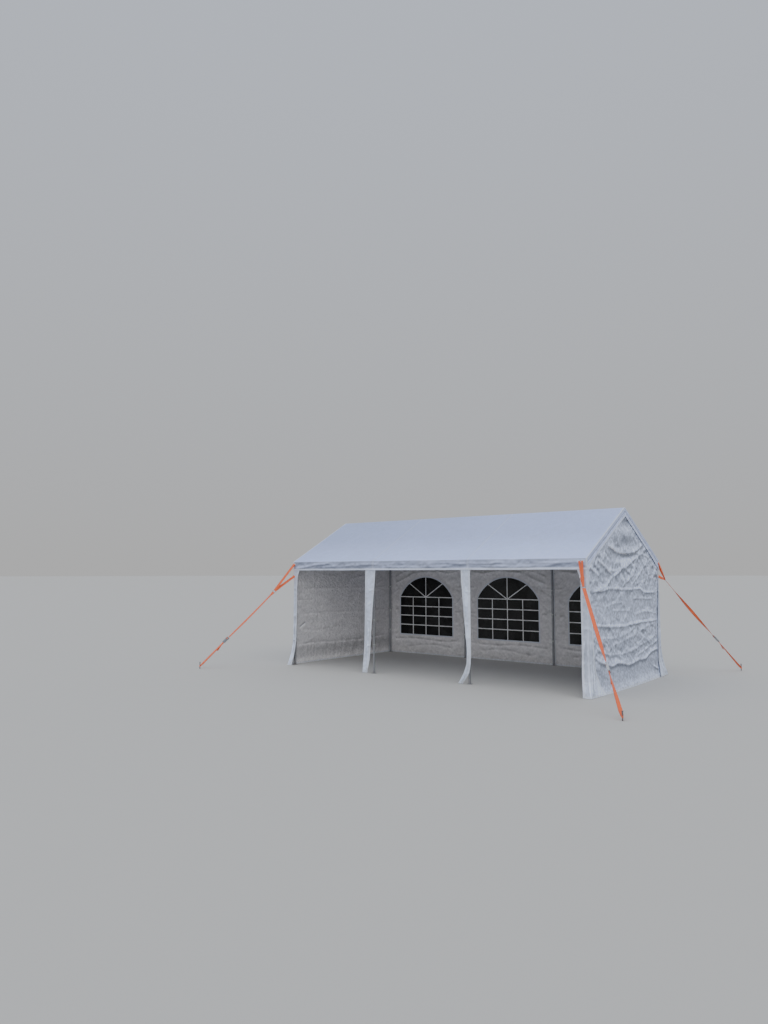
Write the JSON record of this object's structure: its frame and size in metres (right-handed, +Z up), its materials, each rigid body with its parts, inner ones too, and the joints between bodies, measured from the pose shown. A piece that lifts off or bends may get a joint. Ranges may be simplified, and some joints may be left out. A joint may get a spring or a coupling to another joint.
{
  "type": "marquee tent",
  "caption": "Party marquee with a pitched sheet roof on a steel tube frame, windowed back wall, plain end walls, open front and ratchet guy straps.",
  "frame": {"origin": "on the ground, in the middle of the plan", "axes": "+X along the ridge, to the right seen from the open front; +Y from the open front to the back; +Z up"},
  "size_m": [7.938, 6.036, 2.79],
  "materials": {
    "steel_tube": "galvanised",
    "roof_sheeting": "coated woven sheeting, slightly glossy",
    "wall_sheeting": "coated woven sheeting, creased",
    "window_film": "clear flexible film",
    "webbing": "woven orange webbing",
    "peg_steel": "zinc, scuffed"
  },
  "bodies": {
    "root": {"leg_front_1": "steel_tube", "leg_front_2": "steel_tube", "leg_front_3": "steel_tube", "leg_front_4": "steel_tube", "leg_back_1": "steel_tube", "leg_back_2": "steel_tube", "leg_back_3": "steel_tube", "leg_back_4": "steel_tube", "rafter_front_1": "steel_tube", "rafter_front_2": "steel_tube", "rafter_front_3": "steel_tube", "rafter_front_4": "steel_tube", "rafter_back_1": "steel_tube", "rafter_back_2": "steel_tube", "rafter_back_3": "steel_tube", "rafter_back_4": "steel_tube", "ridge_fitting_1": "steel_tube", "ridge_fitting_2": "steel_tube", "ridge_fitting_3": "steel_tube", "ridge_fitting_4": "steel_tube", "eave_tube_front_1": "steel_tube", "eave_tube_front_2": "steel_tube", "eave_tube_front_3": "steel_tube", "eave_tube_back_1": "steel_tube", "eave_tube_back_2": "steel_tube", "eave_tube_back_3": "steel_tube", "ridge_tube_1": "steel_tube", "ridge_tube_2": "steel_tube", "ridge_tube_3": "steel_tube", "roof_sheet": "roof_sheeting", "end_wall_left": "wall_sheeting", "end_wall_right": "wall_sheeting", "back_wall_1": "wall_sheeting", "back_wall_2": "wall_sheeting", "back_wall_3": "wall_sheeting", "leg_cover_front_left": "wall_sheeting", "leg_cover_front_right": "wall_sheeting", "leg_cover_back_left": "wall_sheeting", "leg_cover_back_right": "wall_sheeting", "leg_cover_front_middle_left": "wall_sheeting", "leg_cover_front_middle_right": "wall_sheeting", "leg_cover_back_middle_left": "wall_sheeting", "leg_cover_back_middle_right": "wall_sheeting", "window_film_1": "window_film", "window_film_2": "window_film", "window_film_3": "window_film", "guy_strap_front_left": "webbing", "guy_strap_front_right": "webbing", "guy_strap_back_left": "webbing", "guy_strap_back_right": "webbing", "ground_peg_front_left": "peg_steel", "ground_peg_front_right": "peg_steel", "ground_peg_back_left": "peg_steel", "ground_peg_back_right": "peg_steel"}
  },
  "joints": []
}
